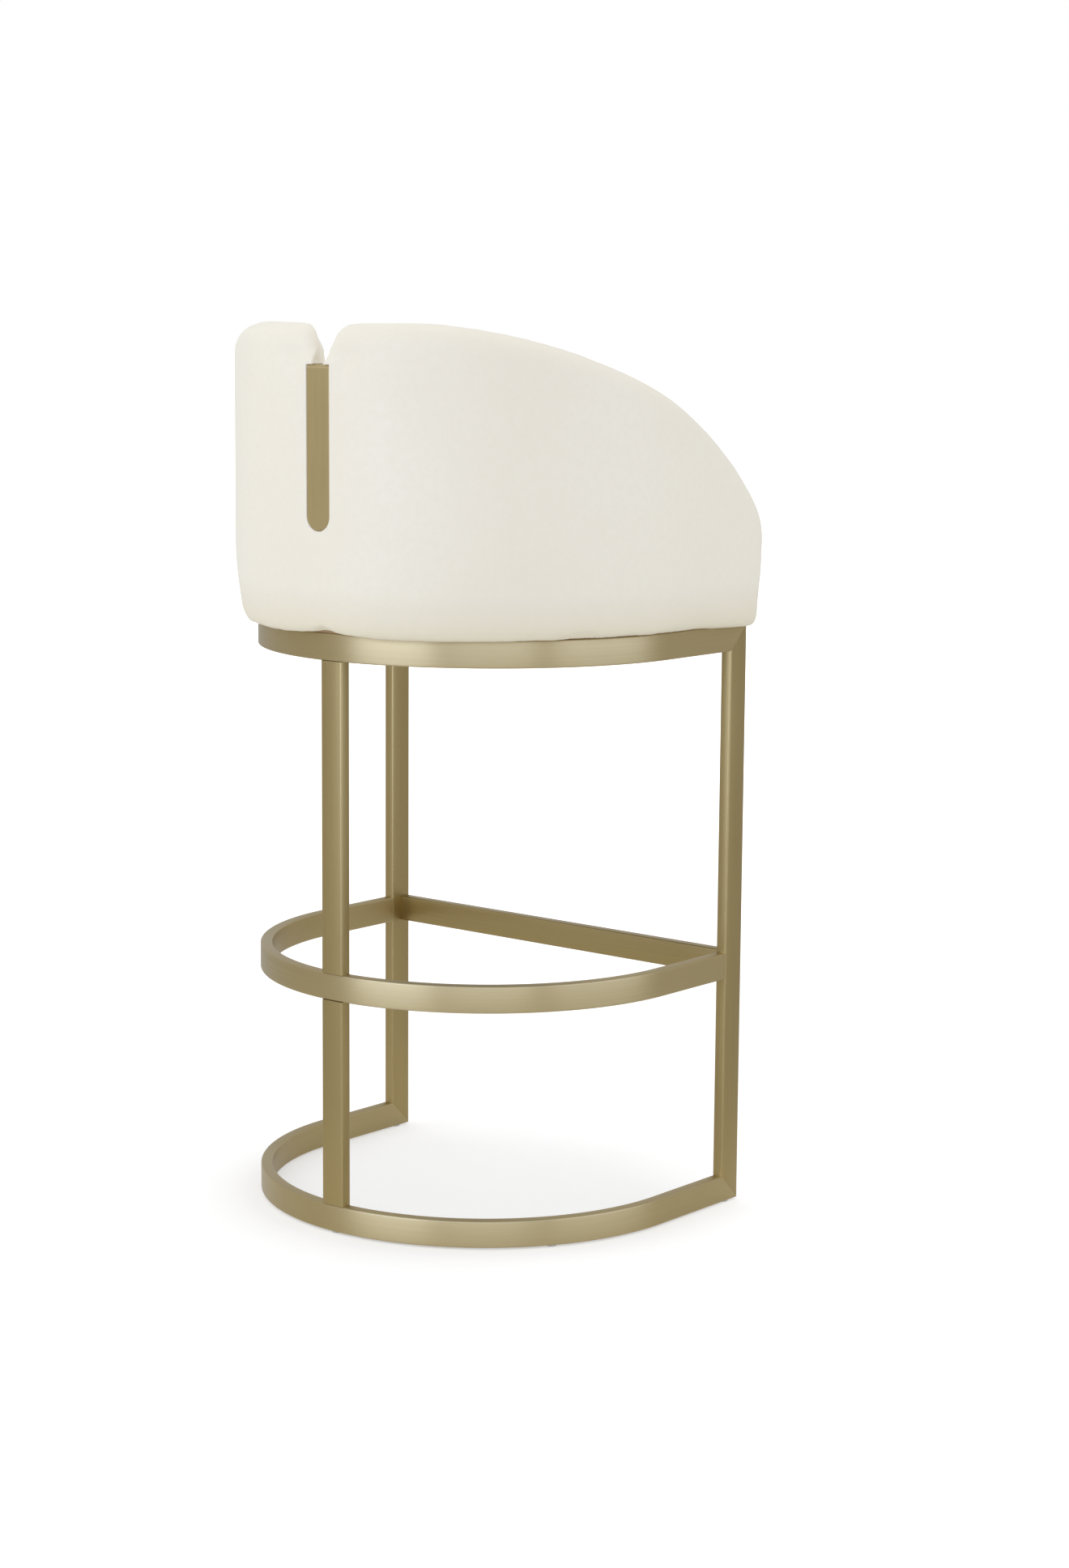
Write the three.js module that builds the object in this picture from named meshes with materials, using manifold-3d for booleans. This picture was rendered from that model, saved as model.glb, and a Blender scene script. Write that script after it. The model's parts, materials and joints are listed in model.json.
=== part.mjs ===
// Bar stool with a wrap-around padded back, on a half-round frame of gold-toned rectangular tube.
// Millimetres, +Z up, the sitter faces -Y. The origin is on the floor, under the centre of the bounding box:
// everything is drawn from the front legs' front faces at Y = 0, and the whole stool is centred at the end.

import * as THREE from 'three';
import { mergeVertices, toCreasedNormals } from 'three/addons/utils/BufferGeometryUtils.js';
import Module from 'manifold-3d';

const wasm = await Module();
wasm.setup();

// Driving dimensions.
const GAP = 0.3;                    // air between two pieces that touch
const SMALL = 0.1;                  // amount a cutter runs past a face it opens
const CURVE_ROOM = 0.8;             // extra air where a straight or coarser edge meets a curved face
const MITRE_GAP = GAP * Math.SQRT2; // the same air, measured along Y across a 45 degree joint

// Frame tube: rectangular, the wide side vertical in the rings.
const TUBE_W = 30;
const TUBE_T = 13.5;
const TUBE_WALL = 1.5;
const TUBE_CORNER = 1.6;
const TUBE_CORNER_LEAST = 0.4;
const RAIL_SETBACK = 1.5;           // footrest bar and seat rail, behind the front legs' front faces

// Plan of the frame: a half circle at the back and straight sides running to the front legs.
const RING_R = 260;
const SIDE_LENGTH = 144;
const FOOT_RING_INSET = 0.7;        // the footrest ring sits just inside the legs' outer faces
const ARC_STEPS = 28;

// Heights.
const GLIDE_H = 2;
const BASE_TOP = GLIDE_H + TUBE_W;
const FOOT_TOP = GLIDE_H + 291;
const SEAT_RING_TOP = GLIDE_H + 665;
const PAD_BOTTOM = SEAT_RING_TOP + GAP;
const ARM_FRONT_TOP = GLIDE_H + 745;
const BACK_TOP = GLIDE_H + 998;
const SEAT_TOP = GLIDE_H + 762;

// Padded back and arms, measured from the ring's outer face.
const PAD_OUT = 25;
const PAD_DIP = 5.7;                // how far the pad draws in beside the accent bar
const PAD_DIP_WIDTH = 45;
const PAD_IN = 24;
const PAD_FRONT = 12;               // reach of the arms past the front legs
const PAD_TAPER = 8;                // how far the outer side draws in towards its rounded base
const PAD_BASE_RISE = 16;           // height of that rounded base
const PAD_TAPER_MIDDLE = 42;        // height where half of the taper is left
const PAD_TAPER_END = 85;           // height where the side stands upright
const PAD_CROWN = 22;
const PAD_NOSE = 24;                // length over which each arm's front rounds off
const PAD_NOSE_FLAT = 0.9;          // how much of that rounding the blunt tip leaves out
const ARM_SWEEP = 457;
const ARM_POWER = 1.6;
const ARM_ROOT = 0.58;
const LOBE_R = 24;                  // round shoulder on each side of the notch

// Metal accent bar let into the middle of the back.
const BAR_W = 33;
const BAR_TOP = GLIDE_H + 952;
const BAR_BOTTOM = GLIDE_H + 776;
const BAR_OUT = 19.3;
const BAR_WALL = 1.8;
const STUD_R = 2.5;
const STUD_PAST_NUT = 2;
const STUD_LOW = GLIDE_H + 812;
const STUD_HIGH = GLIDE_H + 912;
const NUT_R = 4.6;
const NUT_T = 3.5;
const NOTCH_HALF = BAR_W / 2 + GAP;
const NOTCH_FLOOR = BAR_TOP - 2;
const NOTCH_INNER_FLARE = 16;       // widening of each side of the notch towards the sitter
const NOTCH_OUTER_FLARE = 6;        // and towards the outside

// Plywood inside the upholstery.
const CORE_T = 12;
const CORE_SET_IN = 2.5;            // from the ring's outer face to the core's
const CORE_TOP_COVER = 28;
const CORE_END_COVER = 30;
const CORE_NOTCH_HALF = 34;
const CORE_NOTCH_FLOOR = BAR_TOP - 16;
const BOARD_T = 15;
const BOARD_R = RING_R - CORE_SET_IN - CORE_T - GAP - CURVE_ROOM;
const BOARD_BOTTOM = SEAT_RING_TOP + GAP;
const BOARD_TOP = BOARD_BOTTOM + BOARD_T;
const BOARD_SETBACK = 4;

// Cloth cover under the seat board, clear of the frame all round.
const COVER_T = 1.2;
const COVER_ROOM = 2;
const COVER_TAB_ROOM = 1;

// Seat cushion.
const CUSHION_R = RING_R - PAD_IN - 2 * GAP;
const CUSHION_OVERHANG = 9;         // reach past the front legs
const CUSHION_EDGE = 26;            // height over which its upper edge rolls in
const CUSHION_CROWN = 3;            // rise from that edge to the middle
const CUSHION_LIP_OVERLAP = 3;      // the lip before the board runs this far up into the cushion

// Fasteners.
const TAB_LENGTH = 38;
const TAB_W = 30;
const TAB_T = 4;
const SCREW_R = 2.2;
const SCREW_HEAD_R = 4.5;
const SCREW_HEAD_T = 2.6;
const SEAT_SCREW_LENGTH = 15;
const CORE_SCREW_LENGTH = 30;
const GLIDE_R = 5;

// Where the fasteners and glides stand, as a distance along the frame's outline from the back centre.
const CORE_SCREW_FRONT = 505;
const CORE_SCREW_REAR = 205;
const TAB_FRONT = 510;
const TAB_REAR = 230;
const GLIDE_FRONT = 535;
const GLIDE_SIDE = 260;

// Lines along Y that the pieces share.
const LEG_FRONT = 0;
const ARC_Y = LEG_FRONT + SIDE_LENGTH;
const BACK_FACE = ARC_Y + RING_R;
const BOARD_FRONT = LEG_FRONT + BOARD_SETBACK;
const CUSHION_FRONT = LEG_FRONT - CUSHION_OVERHANG;
const HALF_CONTOUR = SIDE_LENGTH + Math.PI * RING_R / 2;
const PAD_END = HALF_CONTOUR + PAD_FRONT;

// Finishes.
function finish(color, roughness, metalness) {
  return new THREE.MeshStandardMaterial({ color, roughness, metalness });
}
const GOLD = () => finish(0xa8986c, 0.34, 0.9);
const UPHOLSTERY = () => finish(0xe8e4da, 0.7, 0);
const PLYWOOD = () => finish(0xb48f5e, 0.75, 0);
const ZINC = () => finish(0x9aa0a4, 0.35, 0.9);
const BLACK_CLOTH = () => finish(0x171719, 0.95, 0);
const NYLON = () => finish(0xd8d8d4, 0.5, 0);

const stool = new THREE.Group();
stool.name = 'bar_stool_with_footrest';
const frame = new THREE.Group();
frame.name = 'frame';
const seat = new THREE.Group();
seat.name = 'seat';
const back = new THREE.Group();
back.name = 'back';
stool.add(frame, seat, back);

function addPiece(group, name, geometry, material) {
  const mesh = new THREE.Mesh(toCreasedNormals(geometry, Math.PI / 6), material);
  mesh.name = name;
  group.add(mesh);
}

// Signed volume of an indexed geometry: positive when its faces look outwards.
function signedVolume(geometry) {
  const position = geometry.getAttribute('position');
  const index = geometry.getIndex();
  const a = new THREE.Vector3();
  const b = new THREE.Vector3();
  const c = new THREE.Vector3();
  let volume = 0;
  for (let i = 0; i < index.count; i += 3) {
    a.fromBufferAttribute(position, index.getX(i));
    b.fromBufferAttribute(position, index.getX(i + 1));
    c.fromBufferAttribute(position, index.getX(i + 2));
    volume += a.dot(b.cross(c)) / 6;
  }
  return volume;
}

function solidFrom(points, triangles) {
  const geometry = new THREE.BufferGeometry();
  geometry.setAttribute('position', new THREE.Float32BufferAttribute(points.flatMap((p) => p.toArray()), 3));
  geometry.setIndex(triangles.flat());
  if (signedVolume(geometry) < 0) {
    geometry.setIndex(triangles.flatMap(([a, b, c]) => [a, c, b]));
  }
  return geometry;
}

// The skin between successive closed rings of points, all with the same number of points.
function skin(loopCount, size, first) {
  const triangles = [];
  for (let i = 0; i < loopCount - 1; i += 1) {
    for (let j = 0; j < size; j += 1) {
      const a = first + i * size + j;
      const b = first + i * size + (j + 1) % size;
      triangles.push([a, b, b + size], [a, b + size, a + size]);
    }
  }
  return triangles;
}

// A solid through a row of rings, closed at both ends by a fan.
function loft(loops) {
  const size = loops[0].length;
  const points = loops.flat();
  const triangles = skin(loops.length, size, 0);
  const last = (loops.length - 1) * size;
  for (let j = 1; j < size - 1; j += 1) {
    triangles.push([0, j + 1, j], [last, last + j, last + j + 1]);
  }
  return solidFrom(points, triangles);
}

// An open-ended tube between an outer and an inner row of rings.
function hollowLoft(outer, inner) {
  const size = outer[0].length;
  const points = [...outer.flat(), ...inner.flat()];
  const shift = outer.length * size;
  const triangles = skin(outer.length, size, 0);
  for (const [a, b, c] of skin(inner.length, size, shift)) {
    triangles.push([a, c, b]);
  }
  const last = (outer.length - 1) * size;
  for (let j = 0; j < size; j += 1) {
    const k = (j + 1) % size;
    triangles.push([k, j, j + shift], [k, j + shift, k + shift]);
    triangles.push([last + j, last + k, last + k + shift], [last + j, last + k + shift, last + j + shift]);
  }
  return solidFrom(points, triangles);
}

function toManifold(geometry) {
  const bare = geometry.clone();
  bare.deleteAttribute('normal');
  bare.deleteAttribute('uv');
  const merged = mergeVertices(bare, 1e-4);
  return new wasm.Manifold(new wasm.Mesh({
    numProp: 3,
    vertProperties: new Float32Array(merged.getAttribute('position').array),
    triVerts: new Uint32Array(merged.getIndex().array),
  }));
}

function fromManifold(manifold) {
  const mesh = manifold.getMesh();
  const geometry = new THREE.BufferGeometry();
  geometry.setAttribute('position', new THREE.BufferAttribute(new Float32Array(mesh.vertProperties), 3));
  geometry.setIndex(new THREE.BufferAttribute(new Uint32Array(mesh.triVerts), 1));
  return geometry;
}

function cut(body, cutters) {
  let result = toManifold(body);
  for (const cutter of cutters) {
    result = result.subtract(toManifold(cutter));
  }
  return fromManifold(result);
}

function box(width, depth, height, x, y, z) {
  return new THREE.BoxGeometry(width, depth, height).translate(x, y, z + height / 2);
}

// A rod of the given radius along +Z, standing on z = 0.
function rod(radius, length, segments = 12) {
  const cylinder = new THREE.CylinderGeometry(radius, radius, length, segments);
  return cylinder.rotateX(Math.PI / 2).translate(0, 0, length / 2);
}

// Tube section as [across, up] pairs, across running inwards from the outer face.
function tubeSection(inset) {
  const c = Math.max(TUBE_CORNER - inset, TUBE_CORNER_LEAST);
  const lo = inset;
  const t = TUBE_T - inset;
  const w = TUBE_W - inset;
  return [
    [lo, lo + c], [lo + c, lo], [t - c, lo], [t, lo + c],
    [t, w - c], [t - c, w], [lo + c, w], [lo, w - c],
  ];
}

// One frame ring: open at the front, its two ends cut where endY says for each height.
function ring(radius, bottom, endY) {
  const loopsFor = (inset) => {
    const section = tubeSection(inset);
    const end = (side) => section.map(([across, up]) => (
      new THREE.Vector3(side * (radius - across), endY(bottom + up), bottom + up)));
    const bend = [];
    for (let i = 0; i <= ARC_STEPS; i += 1) {
      const angle = Math.PI * i / ARC_STEPS;
      bend.push(section.map(([across, up]) => new THREE.Vector3(
        (radius - across) * Math.cos(angle), ARC_Y + (radius - across) * Math.sin(angle), bottom + up)));
    }
    return [end(1), ...bend, end(-1)];
  };
  return hollowLoft(loopsFor(0), loopsFor(TUBE_WALL));
}

// A straight tube: place(across, up, t) gives the point at its start (t = 0) and its end (t = 1).
function straightTube(place) {
  const loopFor = (inset, t) => tubeSection(inset).map(([across, up]) => place(across, up, t));
  const loopsFor = (inset) => [loopFor(inset, 0), loopFor(inset, 1)];
  return hollowLoft(loopsFor(0), loopsFor(TUBE_WALL));
}

// Frame.
addPiece(frame, 'seat_ring',
  ring(RING_R, SEAT_RING_TOP - TUBE_W, (z) => LEG_FRONT + (SEAT_RING_TOP - z) + MITRE_GAP), GOLD());
addPiece(frame, 'footrest_ring',
  ring(RING_R - FOOT_RING_INSET, FOOT_TOP - TUBE_W, () => LEG_FRONT + TUBE_W + GAP), GOLD());
addPiece(frame, 'base_ring',
  ring(RING_R, BASE_TOP - TUBE_W, (z) => LEG_FRONT + (z - GLIDE_H) + MITRE_GAP), GOLD());

for (const [name, side] of [['front_leg_right', 1], ['front_leg_left', -1]]) {
  addPiece(frame, name, straightTube((across, up, t) => new THREE.Vector3(
    side * (RING_R - across), LEG_FRONT + up, t ? SEAT_RING_TOP - up : GLIDE_H + up)), GOLD());
}

const railHalf = RING_R - TUBE_T - GAP;
for (const [name, top] of [['footrest_bar', FOOT_TOP], ['seat_front_rail', SEAT_RING_TOP]]) {
  addPiece(frame, name, straightTube((across, up, t) => new THREE.Vector3(
    t ? railHalf : -railHalf, LEG_FRONT + RAIL_SETBACK + across, top - TUBE_W + up)), GOLD());
}

const backLegs = [
  ['back_leg_lower', BASE_TOP, FOOT_TOP - TUBE_W],
  ['back_leg_upper', FOOT_TOP, SEAT_RING_TOP - TUBE_W],
];
for (const [name, low, high] of backLegs) {
  addPiece(frame, name, straightTube((across, up, t) => new THREE.Vector3(
    up - TUBE_W / 2, BACK_FACE - across, t ? high - GAP : low + GAP)), GOLD());
}

// Plan position of a point on the frame's outline; s runs from the back centre, out is outwards.
function onContour(s, out, z) {
  const side = Math.sign(s) || 1;
  const along = Math.abs(s);
  const bend = Math.PI * RING_R / 2;
  if (along > bend) {
    return new THREE.Vector3(side * (RING_R + out), ARC_Y - (along - bend), z);
  }
  const angle = s / RING_R;
  const radius = RING_R + out;
  return new THREE.Vector3(radius * Math.sin(angle), ARC_Y + radius * Math.cos(angle), z);
}

// Height of the pad's upper edge: a long curve falling to each arm's front, a round shoulder by the notch.
function padTop(s) {
  const fromFront = Math.min((PAD_END - Math.abs(s)) / ARM_SWEEP, 1);
  const rise = (1 - (1 - fromFront) ** ARM_POWER) ** ARM_ROOT;
  const top = ARM_FRONT_TOP + (BACK_TOP - ARM_FRONT_TOP) * rise;
  const toWall = Math.abs(s) - NOTCH_HALF;
  const intoShoulder = Math.min(Math.max((LOBE_R - toWall) / LOBE_R, 0), 1);
  return top - LOBE_R * (1 - Math.sqrt(1 - intoShoulder ** 2));
}

// Outward reach of the pad, less beside the accent bar.
function padOut(s) {
  return PAD_OUT - PAD_DIP * Math.exp(-((s / PAD_DIP_WIDTH) ** 2));
}

// Section of the pad as [out, z] pairs at full thickness: flat base, rounded lower edge, a side that
// draws in towards the base, a round crown and an upright inner face.
function padSection(s) {
  const top = padTop(s);
  const outer = padOut(s);
  const middle = (outer - PAD_IN) / 2;
  const half = (outer + PAD_IN) / 2;
  const points = [[-PAD_IN, PAD_BOTTOM], [0, PAD_BOTTOM]];
  for (const degrees of [30, 60, 90]) {
    const angle = THREE.MathUtils.degToRad(degrees);
    points.push([(outer - PAD_TAPER) * Math.sin(angle), PAD_BOTTOM + PAD_BASE_RISE * (1 - Math.cos(angle))]);
  }
  points.push([outer - PAD_TAPER / 2, PAD_BOTTOM + PAD_TAPER_MIDDLE]);
  points.push([outer, Math.min(PAD_BOTTOM + PAD_TAPER_END, top - PAD_CROWN - SMALL)]);
  const crownSteps = 8;
  for (let i = 0; i <= crownSteps; i += 1) {
    const angle = Math.PI * i / crownSteps;
    points.push([middle + half * Math.cos(angle), top - PAD_CROWN * (1 - Math.sin(angle))]);
  }
  return points;
}

// Stations of the pad from one arm's front to the other, close together where it rounds off.
function padStations() {
  const half = [];
  half.push(PAD_END);
  for (const degrees of [35, 53, 72, 90]) {
    const fromTip = PAD_NOSE * (1 - Math.cos(THREE.MathUtils.degToRad(degrees)));
    half.push(PAD_END + PAD_NOSE_FLAT - fromTip);
  }
  for (const behindTip of [38, 60, 90, 125]) {
    half.push(PAD_END - behindTip);
  }
  const bend = Math.PI * RING_R / 2;
  const shoulder = NOTCH_HALF + LOBE_R;
  const bendSteps = 13;
  for (let i = 0; i <= bendSteps; i += 1) {
    half.push(bend + (shoulder - bend) * i / bendSteps);
  }
  for (const degrees of [30, 55, 75, 90]) {
    half.push(shoulder - LOBE_R * Math.sin(THREE.MathUtils.degToRad(degrees)));
  }
  return [...half, ...half.map((s) => -s).reverse()];
}

function padSolid() {
  const middle = (PAD_OUT - PAD_IN) / 2;
  return loft(padStations().map((s) => {
    const fromFront = (PAD_END + PAD_NOSE_FLAT - Math.abs(s)) / PAD_NOSE;
    const full = fromFront < 1 ? Math.sqrt(1 - (1 - fromFront) ** 2) : 1;
    return padSection(s).map(([out, z]) => onContour(s, middle + (out - middle) * full, z));
  }));
}

// Bent plywood strip that follows the pad; grow widens it on every side for the pocket it sits in.
function coreSolid(grow) {
  const stations = padStations().filter((s) => Math.abs(s) < PAD_END - CORE_END_COVER);
  const end = PAD_END - CORE_END_COVER + grow;
  return loft([end, ...stations, -end].map((s) => {
    const shoulderFree = Math.sign(s) * Math.max(Math.abs(s), NOTCH_HALF + LOBE_R);
    const top = padTop(shoulderFree) - CORE_TOP_COVER + grow;
    const bottom = SEAT_RING_TOP + (grow ? -SMALL : GAP);
    return [
      onContour(s, -CORE_SET_IN - CORE_T - grow, bottom),
      onContour(s, grow - CORE_SET_IN, bottom),
      onContour(s, grow - CORE_SET_IN, top),
      onContour(s, -CORE_SET_IN - CORE_T - grow, top),
    ];
  }));
}

// Opening at the top of the core, wider than the pad's own notch so that the padding wraps its edges.
function coreNotch(grow) {
  const height = BACK_TOP - CORE_NOTCH_FLOOR;
  const half = CORE_NOTCH_HALF - grow;
  return box(2 * half, 4 * CORE_T, height, 0, BACK_FACE - CORE_SET_IN - CORE_T / 2, CORE_NOTCH_FLOOR + grow);
}

// D-shaped outline, seen from above: half round at the back, straight sides, flat front.
function plan(radius, front) {
  const shape = new THREE.Shape();
  shape.moveTo(-radius, front);
  shape.lineTo(radius, front);
  shape.lineTo(radius, ARC_Y);
  shape.absarc(0, ARC_Y, radius, 0, Math.PI, false);
  return shape;
}

function plate(radius, front, bottom, thickness) {
  const options = { depth: thickness, bevelEnabled: false, curveSegments: ARC_STEPS };
  return new THREE.ExtrudeGeometry(plan(radius, front), options).translate(0, 0, bottom);
}

// The see-through notch: parallel in the middle, each side curving away towards both faces of the pad.
function notchCutter(floor) {
  const high = BACK_TOP + LOBE_R;
  const reach = LOBE_R / 2;
  const steps = 5;
  const flare = [];
  for (let i = 0; i <= steps; i += 1) {
    flare.push([-PAD_IN - reach / 2 + 2 * reach * i / steps, NOTCH_INNER_FLARE * (1 - i / steps) ** 2]);
  }
  for (let i = 0; i <= steps; i += 1) {
    flare.push([PAD_OUT + reach * (i / steps - 1), NOTCH_OUTER_FLARE * (i / steps) ** 2]);
  }
  flare.push([PAD_OUT + reach, NOTCH_OUTER_FLARE + reach / 2]);
  return loft(flare.map(([out, extra]) => {
    const y = BACK_FACE + out;
    const half = NOTCH_HALF + extra;
    return [
      new THREE.Vector3(-half, y, floor), new THREE.Vector3(half, y, floor),
      new THREE.Vector3(half, y, high), new THREE.Vector3(-half, y, high),
    ];
  }));
}

// Accent bar outline in elevation, pushed along Y from one distance out of the ring face to another.
function barBlock(grow, from, to) {
  const half = BAR_W / 2 + grow;
  const shape = new THREE.Shape();
  shape.moveTo(half, BAR_TOP + grow);
  shape.lineTo(-half, BAR_TOP + grow);
  shape.lineTo(-half, BAR_BOTTOM + BAR_W / 2);
  shape.absarc(0, BAR_BOTTOM + BAR_W / 2, half, Math.PI, 2 * Math.PI, false);
  const options = { depth: to - from, bevelEnabled: false, curveSegments: 12 };
  return new THREE.ExtrudeGeometry(shape, options).rotateX(Math.PI / 2).translate(0, BACK_FACE + to, 0);
}

// Screws: two in the core's sides and two towards its back, driven inwards into the seat board's edge.
const coreScrews = [
  ['front_left', -CORE_SCREW_FRONT], ['front_right', CORE_SCREW_FRONT],
  ['rear_left', -CORE_SCREW_REAR], ['rear_right', CORE_SCREW_REAR],
];
const coreScrewHeight = BOARD_BOTTOM + BOARD_T / 2;

// Turns a fastener made along +Z, head at z = 0, to point inwards from a spot on the core's outer face.
function intoCore(geometry, s, out) {
  const start = onContour(s, out, coreScrewHeight);
  const inward = onContour(s, out - 1, coreScrewHeight).sub(start).normalize();
  const turn = new THREE.Quaternion().setFromUnitVectors(new THREE.Vector3(0, 0, 1), inward);
  return geometry.applyQuaternion(turn).translate(start.x, start.y, start.z);
}

// A pan-head screw: head below z = 0, shank above it.
function screw(length, grow = 0) {
  const profile = [
    [0, -SCREW_HEAD_T - grow], [SCREW_HEAD_R * 0.7 + grow, -SCREW_HEAD_T - grow],
    [SCREW_HEAD_R + grow, -SCREW_HEAD_T * 0.4], [SCREW_HEAD_R + grow, grow],
    [SCREW_R + grow, grow], [SCREW_R + grow, length - SCREW_R + grow], [0, length + grow],
  ].map(([r, z]) => new THREE.Vector2(r, z));
  return mergeVertices(new THREE.LatheGeometry(profile, 12).rotateX(Math.PI / 2));
}

// Threaded stud from inside the accent bar, through the core and just past its nut.
function stud(height, grow) {
  const start = BACK_FACE - CORE_SET_IN - CORE_T - NUT_T - STUD_PAST_NUT - grow;
  const end = BACK_FACE + BAR_OUT - BAR_WALL - GAP;
  return rod(STUD_R + grow, end - start).rotateX(-Math.PI / 2).translate(0, start, height);
}

// Hexagonal nut against the core's inner face.
function nut(height, grow) {
  const blank = rod(NUT_R + grow, NUT_T + 2 * grow, 6).rotateX(-Math.PI / 2);
  return blank.translate(0, BACK_FACE - CORE_SET_IN - CORE_T - CURVE_ROOM - NUT_T - grow, height);
}

// Back.
const studHeights = [['lower', STUD_LOW], ['upper', STUD_HIGH]];
const pocketCuts = coreScrews.map(([, s]) => intoCore(screw(CORE_SCREW_LENGTH, GAP), s, GAP - CORE_SET_IN));
const fixings = studHeights.flatMap(([, z]) => [stud(z, GAP), nut(z, GAP)]);
const boardPocket = plate(BOARD_R + GAP, BOARD_FRONT - GAP, BOARD_BOTTOM - GAP, BOARD_T + 2 * GAP);
addPiece(back, 'back_pad', cut(padSolid(), [
  notchCutter(NOTCH_FLOOR),
  barBlock(GAP, -CORE_SET_IN, PAD_OUT + 10),
  cut(coreSolid(GAP), [coreNotch(GAP)]),
  boardPocket, ...pocketCuts, ...fixings,
]), UPHOLSTERY());

addPiece(back, 'back_core', cut(coreSolid(0), [
  coreNotch(0),
  ...pocketCuts,
  ...studHeights.map(([, z]) => stud(z, GAP)),
]), PLYWOOD());

addPiece(back, 'accent_bar', cut(barBlock(0, GAP - CORE_SET_IN, BAR_OUT), [
  barBlock(-BAR_WALL, -CORE_SET_IN - SMALL, BAR_OUT - BAR_WALL),
]), GOLD());

for (const [place, z] of studHeights) {
  addPiece(back, `accent_stud_${place}`, stud(z, 0), ZINC());
  addPiece(back, `accent_nut_${place}`, cut(nut(z, 0), [stud(z, GAP)]), ZINC());
}
for (const [place, s] of coreScrews) {
  addPiece(back, `shell_screw_${place}`, intoCore(screw(CORE_SCREW_LENGTH), s, GAP - CORE_SET_IN), ZINC());
}

// Welded tabs inside the seat ring, and the screws that go up through them into the seat board.
const tabPlaces = [
  ['front_left', -TAB_FRONT], ['front_right', TAB_FRONT],
  ['rear_left', -TAB_REAR], ['rear_right', TAB_REAR],
];

function tabFrame(s) {
  const centre = onContour(s, -TUBE_T - GAP - CURVE_ROOM - TAB_LENGTH / 2, 0);
  const outward = onContour(s, 0, 0).sub(centre);
  return { centre, turn: Math.atan2(outward.y, outward.x) };
}

function tabBlock(s, grow) {
  const { centre, turn } = tabFrame(s);
  const bottom = SEAT_RING_TOP - TAB_T - grow;
  const blank = box(TAB_LENGTH + 2 * grow, TAB_W + 2 * grow, TAB_T + 2 * grow, 0, 0, bottom);
  return blank.rotateZ(turn).translate(centre.x, centre.y, 0);
}

function seatScrew(s, grow) {
  const { centre } = tabFrame(s);
  return screw(SEAT_SCREW_LENGTH, grow).translate(centre.x, centre.y, SEAT_RING_TOP - TAB_T - GAP);
}

addPiece(seat, 'seat_board', cut(plate(BOARD_R, BOARD_FRONT, BOARD_BOTTOM, BOARD_T), [
  ...tabPlaces.map(([, s]) => seatScrew(s, GAP)),
  ...pocketCuts,
]), PLYWOOD());

for (const [place, s] of tabPlaces) {
  addPiece(frame, `seat_tab_${place}`, cut(tabBlock(s, 0), [seatScrew(s, GAP)]), GOLD());
  addPiece(seat, `seat_screw_${place}`, seatScrew(s, 0), ZINC());
}

const coverFront = LEG_FRONT + RAIL_SETBACK + TUBE_T + COVER_ROOM;
const coverBlank = plate(RING_R - TUBE_T - COVER_ROOM, coverFront, BOARD_BOTTOM - GAP - COVER_T, COVER_T);
const coverCuts = tabPlaces.map(([, s]) => tabBlock(s, COVER_TAB_ROOM));
addPiece(seat, 'dust_cover', cut(coverBlank, coverCuts), BLACK_CLOTH());

// Seat cushion: upright sides, a rolled upper edge, a low crown and a lip in front of the board.
function cushionLevels() {
  const levels = [[BOARD_TOP + GAP, 0]];
  const edgeTop = SEAT_TOP - CUSHION_CROWN;
  for (const degrees of [0, 30, 60, 90]) {
    const angle = THREE.MathUtils.degToRad(degrees);
    levels.push([edgeTop - CUSHION_EDGE * (1 - Math.sin(angle)), CUSHION_EDGE * (1 - Math.cos(angle))]);
  }
  const middle = CUSHION_R * 0.6;
  for (const part of [0.4, 1]) {
    const inset = CUSHION_EDGE + (middle - CUSHION_EDGE) * part;
    levels.push([edgeTop + CUSHION_CROWN * (1 - (1 - part) ** 2), inset]);
  }
  return levels;
}

const cushionRings = cushionLevels().map(([z, inset]) => {
  const outline = plan(CUSHION_R - inset, CUSHION_FRONT + inset).getPoints(ARC_STEPS / 2).slice(0, -1);
  return outline.map((p) => new THREE.Vector3(p.x, p.y, z));
});
const lipDepth = BOARD_FRONT - GAP - CUSHION_FRONT;
const lip = box(2 * CUSHION_R, lipDepth, BOARD_T + CUSHION_LIP_OVERLAP,
  0, CUSHION_FRONT + lipDepth / 2, BOARD_BOTTOM + GAP);
const cushion = toManifold(loft(cushionRings)).add(toManifold(lip));
addPiece(seat, 'seat_cushion', fromManifold(cushion), UPHOLSTERY());

// Glides under the base ring.
const glidePlaces = [
  ['front_left', -GLIDE_FRONT], ['front_right', GLIDE_FRONT],
  ['side_left', -GLIDE_SIDE], ['side_right', GLIDE_SIDE],
  ['back', 0],
];
for (const [place, s] of glidePlaces) {
  const spot = onContour(s, -TUBE_T / 2, 0);
  const glide = rod(GLIDE_R, GLIDE_H - GAP, 16).translate(spot.x, spot.y, 0);
  addPiece(frame, `glide_${place}`, glide, NYLON());
}

const extent = new THREE.Box3().setFromObject(stool);
stool.position.y = -(extent.min.y + extent.max.y) / 2;

export default stool;
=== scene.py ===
import json
import math

import bmesh
import bpy
import numpy as np
from mathutils import Matrix, Vector, noise


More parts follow.
